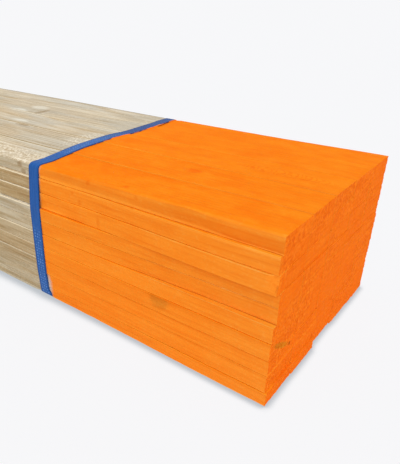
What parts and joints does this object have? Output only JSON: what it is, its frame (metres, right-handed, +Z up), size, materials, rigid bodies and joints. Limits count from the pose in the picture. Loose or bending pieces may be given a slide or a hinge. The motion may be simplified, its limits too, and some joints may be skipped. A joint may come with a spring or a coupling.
{
  "type": "bundle of survey lath",
  "caption": "Strapped bundle of sawn softwood survey lath with one end painted orange, stacked flat in even layers and tied by two plastic straps",
  "frame": {"origin": "on the floor under the middle of the bundle", "axes": "X along the laths with the painted end at +X, Y across the bundle, Z up"},
  "size_m": [1.2217, 0.1981, 0.1284],
  "materials": {
    "lath_wood": "matte",
    "strap_plastic": "satin"
  },
  "bodies": {
    "root": {"lath_layer_01": "lath_wood", "lath_layer_02": "lath_wood", "lath_layer_03": "lath_wood", "lath_layer_04": "lath_wood", "lath_layer_05": "lath_wood", "lath_layer_06": "lath_wood", "lath_layer_07": "lath_wood", "lath_layer_08": "lath_wood", "lath_layer_09": "lath_wood", "lath_layer_10": "lath_wood", "strap_painted_end": "strap_plastic", "strap_plain_end": "strap_plastic"}
  },
  "joints": []
}
